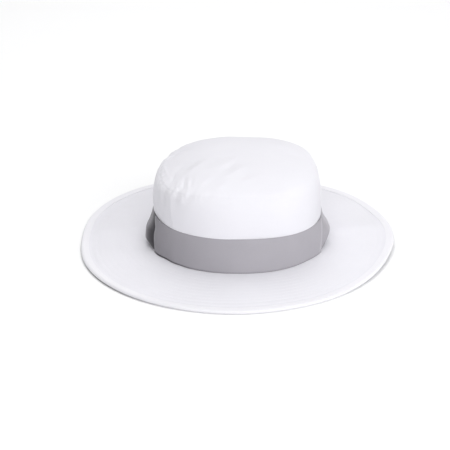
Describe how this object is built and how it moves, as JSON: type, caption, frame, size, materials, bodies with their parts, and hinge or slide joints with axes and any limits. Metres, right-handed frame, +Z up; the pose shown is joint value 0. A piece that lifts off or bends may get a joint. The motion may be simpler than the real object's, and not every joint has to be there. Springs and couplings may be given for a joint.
{
  "type": "sun hat",
  "caption": "White woven-cloth sun hat with a wide stitched brim, a soft round crown and a plain grey band pleated at the sides.",
  "frame": {"origin": "on the surface that the brim rests on, under the middle of the crown and the brim", "axes": "+Z up out of the top of the crown, -Y out of the front of the hat, +X to the right of someone who faces its front"},
  "size_m": [0.3367, 0.3413, 0.0974],
  "materials": {
    "white_cotton": "matte plain weave",
    "grey_twill": "matte ribbed weave"
  },
  "bodies": {
    "root": {"crown_tip": "white_cotton", "crown_wall": "white_cotton", "brim": "white_cotton", "brim_binding": "white_cotton", "band_front": "grey_twill", "band_back": "grey_twill"}
  },
  "joints": []
}
